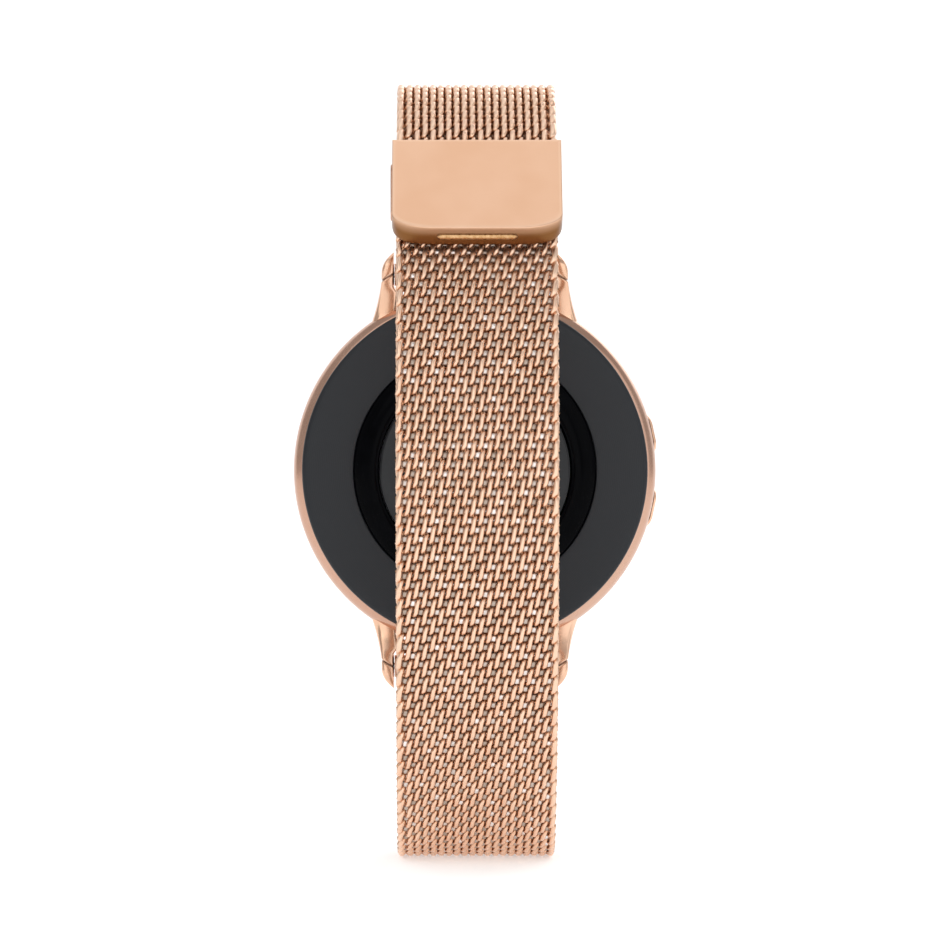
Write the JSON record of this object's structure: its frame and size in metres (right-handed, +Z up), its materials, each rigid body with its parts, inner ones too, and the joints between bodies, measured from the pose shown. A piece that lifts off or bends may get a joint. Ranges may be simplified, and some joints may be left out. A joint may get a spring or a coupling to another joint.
{
  "type": "smartwatch",
  "caption": "Round smartwatch on a woven rose gold steel loop band with a magnetic fold-back clasp, side buttons and a domed sensor back.",
  "frame": {"origin": "under the middle of the closed loop, at its lowest point", "axes": "+Z up along the loop's long way, +Y out of the display glass, +X towards the side with the buttons"},
  "size_m": [0.0444, 0.0584, 0.0904],
  "materials": {
    "rose_gold_case": "polished rose gold",
    "rose_gold_mesh": "woven rose gold steel wire",
    "rose_gold_clasp": "fine satin rose gold",
    "steel": "bright steel",
    "rear_cover": "satin dark grey",
    "sensor_black": "gloss black",
    "sensor_glass": "tinted",
    "cover_glass": "polished",
    "display": "off, black",
    "circuit_board": "solder mask",
    "sensors": "clear epoxy",
    "copper": "enamelled winding",
    "ferrite": "dull",
    "battery_foil": "wrapped pouch",
    "rubber_seal": "matt",
    "magnet": "nickel plated",
    "flex": "polyimide"
  },
  "bodies": {
    "case": {"case_body": "rose_gold_case", "rear_cover": "rear_cover", "rear_gasket": "rubber_seal", "sensor_ring": "sensor_black", "sensor_window": "sensor_glass", "sensor_board": "circuit_board", "light_sensors": "sensors", "charging_coil": "copper", "coil_shield": "ferrite", "battery": "battery_foil", "main_board": "circuit_board", "chip_shields": "steel", "inner_bracket": "steel", "bracket_screws": "steel", "vibration_motor": "steel", "speaker": "sensor_black", "microphone": "steel", "button_switches": "steel", "button_seals": "rubber_seal", "display_panel": "display", "display_flex": "flex", "display_gasket": "rubber_seal", "cover_glass": "cover_glass"},
    "home_button": {"home_button": "rose_gold_case", "home_button_clip": "steel"},
    "back_button": {"back_button": "rose_gold_case", "back_button_clip": "steel"},
    "band_back": {"lower_end_link": "rose_gold_case", "lower_spring_bar": "steel", "lower_bar_spring": "steel", "lower_fixed_pin": "steel", "long_strap_back": "rose_gold_mesh"},
    "lower_release": {"lower_release_pin": "steel"},
    "band_front": {"long_strap_front": "rose_gold_mesh", "long_strap_tail": "rose_gold_mesh"},
    "clasp": {"clasp_mesh_end": "rose_gold_mesh", "clasp_shell": "rose_gold_clasp", "clasp_base_plate": "steel", "clasp_magnets": "magnet", "clasp_finger_bar": "rose_gold_clasp"},
    "band_short": {"upper_end_link": "rose_gold_case", "upper_spring_bar": "steel", "upper_bar_spring": "steel", "upper_fixed_pin": "steel", "short_strap": "rose_gold_mesh", "ring_link": "rose_gold_case"},
    "upper_release": {"upper_release_pin": "steel"},
    "ring": {"buckle_ring": "rose_gold_case"}
  },
  "joints": [
    {"name": "home_button_press", "type": "slide", "parent": "case", "child": "home_button", "axis": [-0.9781, 0, 0.2079], "range_m": [0, 0.0004], "stiffness_N_per_m": 1500, "springref_m": -0.0005},
    {"name": "back_button_press", "type": "slide", "parent": "case", "child": "back_button", "axis": [-0.9781, 0, -0.2079], "range_m": [0, 0.0004], "stiffness_N_per_m": 1500, "springref_m": -0.0005},
    {"name": "long_strap_swing", "type": "hinge", "parent": "case", "child": "band_back", "pos_m": [0, 0.02175, 0.02148], "axis": [1, 0, 0], "range_deg": [-3, 3]},
    {"name": "band_bend", "type": "hinge", "parent": "band_back", "child": "band_front", "pos_m": [0, 0.0022, 0.0008], "axis": [1, 0, 0], "range_deg": [-1.39, 1.39]},
    {"name": "short_strap_swing", "type": "hinge", "parent": "case", "child": "band_short", "pos_m": [0, 0.02175, 0.06888], "axis": [1, 0, 0], "range_deg": [-7.49, 7.49]},
    {"name": "ring_swing", "type": "hinge", "parent": "band_short", "child": "ring", "pos_m": [0, 0.01733, 0.07626], "axis": [1, 0, 0], "range_deg": [-3.98, 3.98]},
    {"name": "clasp_lift", "type": "hinge", "parent": "band_front", "child": "clasp", "pos_m": [0, -0.01478, 0.08308], "axis": [-1, 0, 0], "range_deg": [0, 60]},
    {"name": "lower_release_slide", "type": "slide", "parent": "band_back", "child": "lower_release", "axis": [-1, 0, 0], "range_m": [0, 0.0011], "stiffness_N_per_m": 500, "springref_m": -0.001},
    {"name": "upper_release_slide", "type": "slide", "parent": "band_short", "child": "upper_release", "axis": [-1, 0, 0], "range_m": [0, 0.0011], "stiffness_N_per_m": 500, "springref_m": -0.001}
  ],
  "couplings": [
    {"joint": "band_bend", "follows": "long_strap_swing", "ratio": -0.4457},
    {"joint": "short_strap_swing", "follows": "long_strap_swing", "ratio": 2.4801},
    {"joint": "ring_swing", "follows": "long_strap_swing", "ratio": -1.3084}
  ]
}
